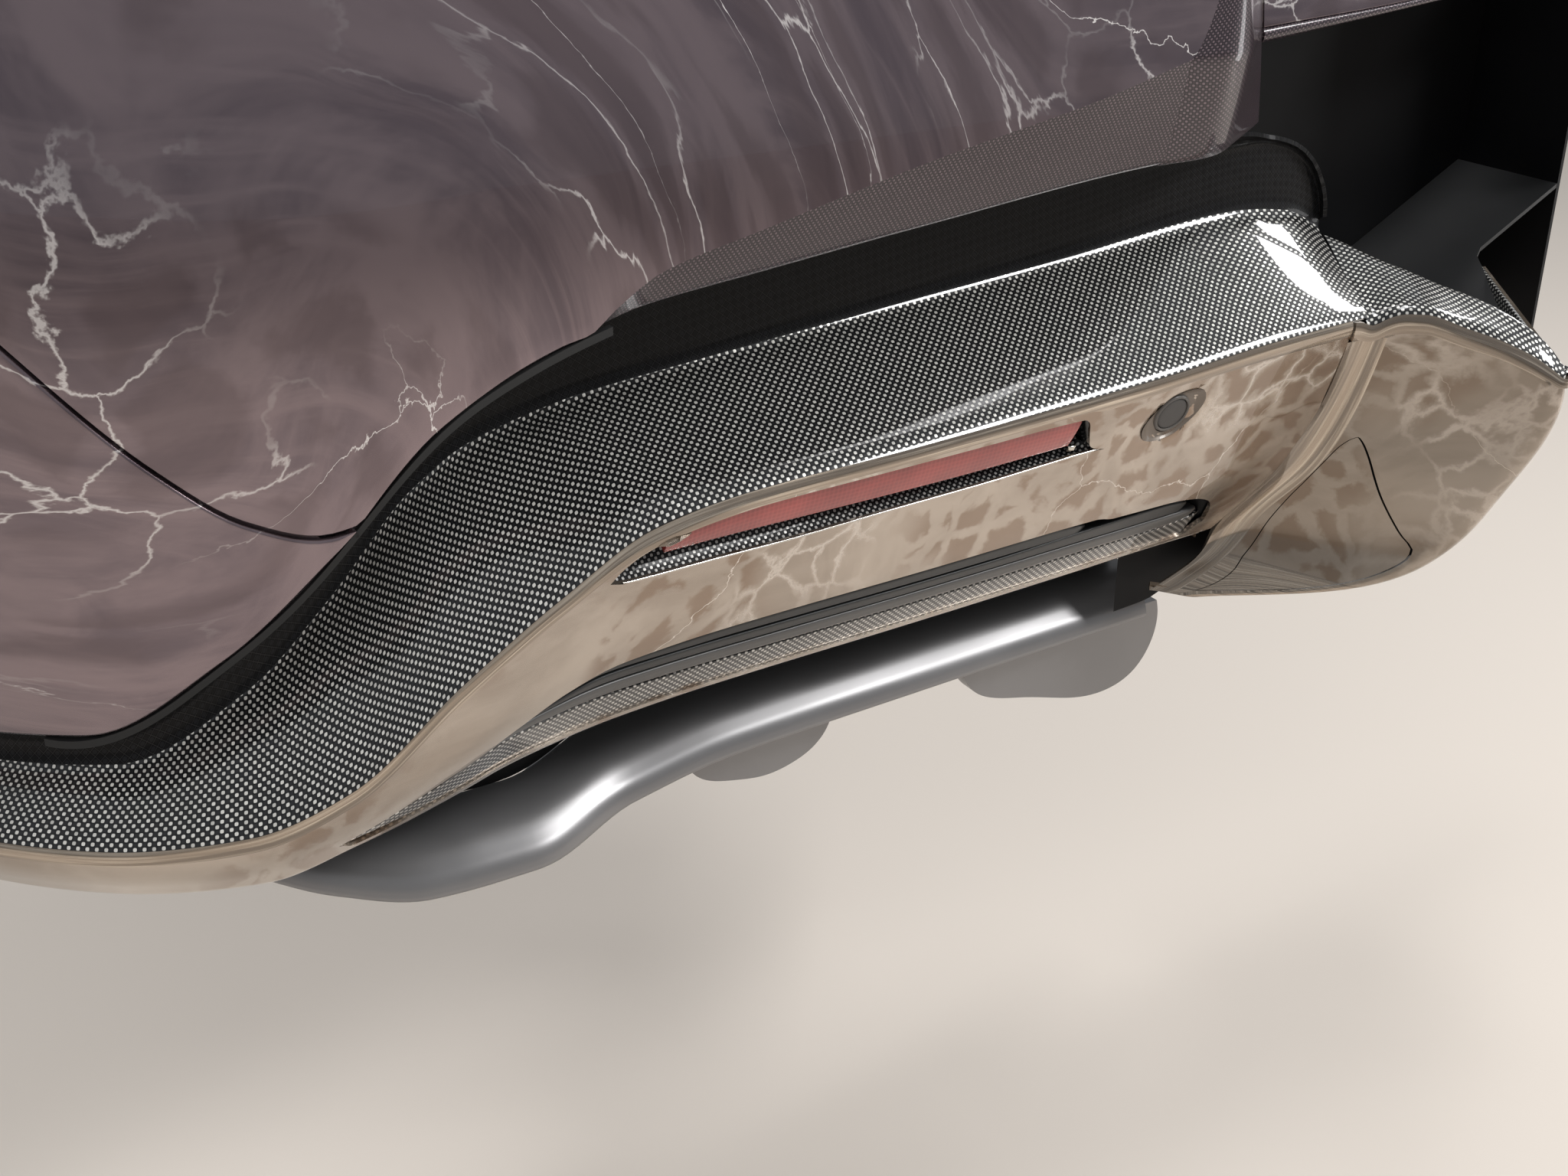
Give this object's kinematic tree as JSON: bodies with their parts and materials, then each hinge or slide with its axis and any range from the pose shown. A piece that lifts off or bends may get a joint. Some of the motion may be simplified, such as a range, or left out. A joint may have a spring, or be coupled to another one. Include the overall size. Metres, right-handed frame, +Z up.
{
  "type": "supercar rear bumper corner",
  "caption": "Left rear bumper corner: painted skins, carbon blade, reflector, parking sensor, vanes and diffuser lip on a bolted crash beam.",
  "frame": {"origin": "centre of the bolted face of the mount plate, where the crash beam bolts to the car's left rear chassis rail", "axes": "+X inboard to the car's right, +Y forward along the bolts, +Z up"},
  "size_m": [0.8663, 0.5135, 0.4595],
  "materials": {
    "stone_paint": "dark purple-brown marbled paint under clearcoat",
    "carbon": "plain-weave carbon under clearcoat",
    "red_lens": "red moulded reflector",
    "black_plastic": "black grained plastic",
    "sensor_grey": "satin",
    "vane_grey": "dark grey satin",
    "band_grey": "grey satin",
    "gunmetal": "satin gunmetal",
    "bare_metal": "mill finish",
    "foam": "moulded bead foam",
    "seal_rubber": "matt"
  },
  "bodies": {
    "root": {"upper_panel": "stone_paint", "quarter_panel": "stone_paint", "panel_lip": "carbon", "panel_return": "carbon", "bridge_strip": "stone_paint", "carbon_channel": "carbon", "blade_nose": "carbon", "lower_skin": "stone_paint", "tow_cover": "stone_paint", "lobe_skin": "stone_paint", "reflector_lens": "red_lens", "reflector_housing": "black_plastic", "sensor_disc": "sensor_grey", "sensor_ring": "black_plastic", "sensor_body": "black_plastic", "upper_vane": "vane_grey", "lower_vane": "vane_grey", "rolled_band": "band_grey", "carbon_strip": "carbon", "vane_liner": "black_plastic", "void_liner": "black_plastic", "diffuser_lip": "gunmetal", "skid_tab_inboard": "gunmetal", "skid_tab_outboard": "gunmetal", "mount_plate": "bare_metal", "crush_can": "bare_metal", "corner_beam": "bare_metal", "stay_outboard": "bare_metal", "stay_inboard": "bare_metal", "impact_foam": "foam", "side_bracket": "bare_metal", "top_bracket": "bare_metal", "opening_liner": "black_plastic", "opening_floor": "black_plastic", "edge_seal": "seal_rubber"}
  },
  "joints": []
}
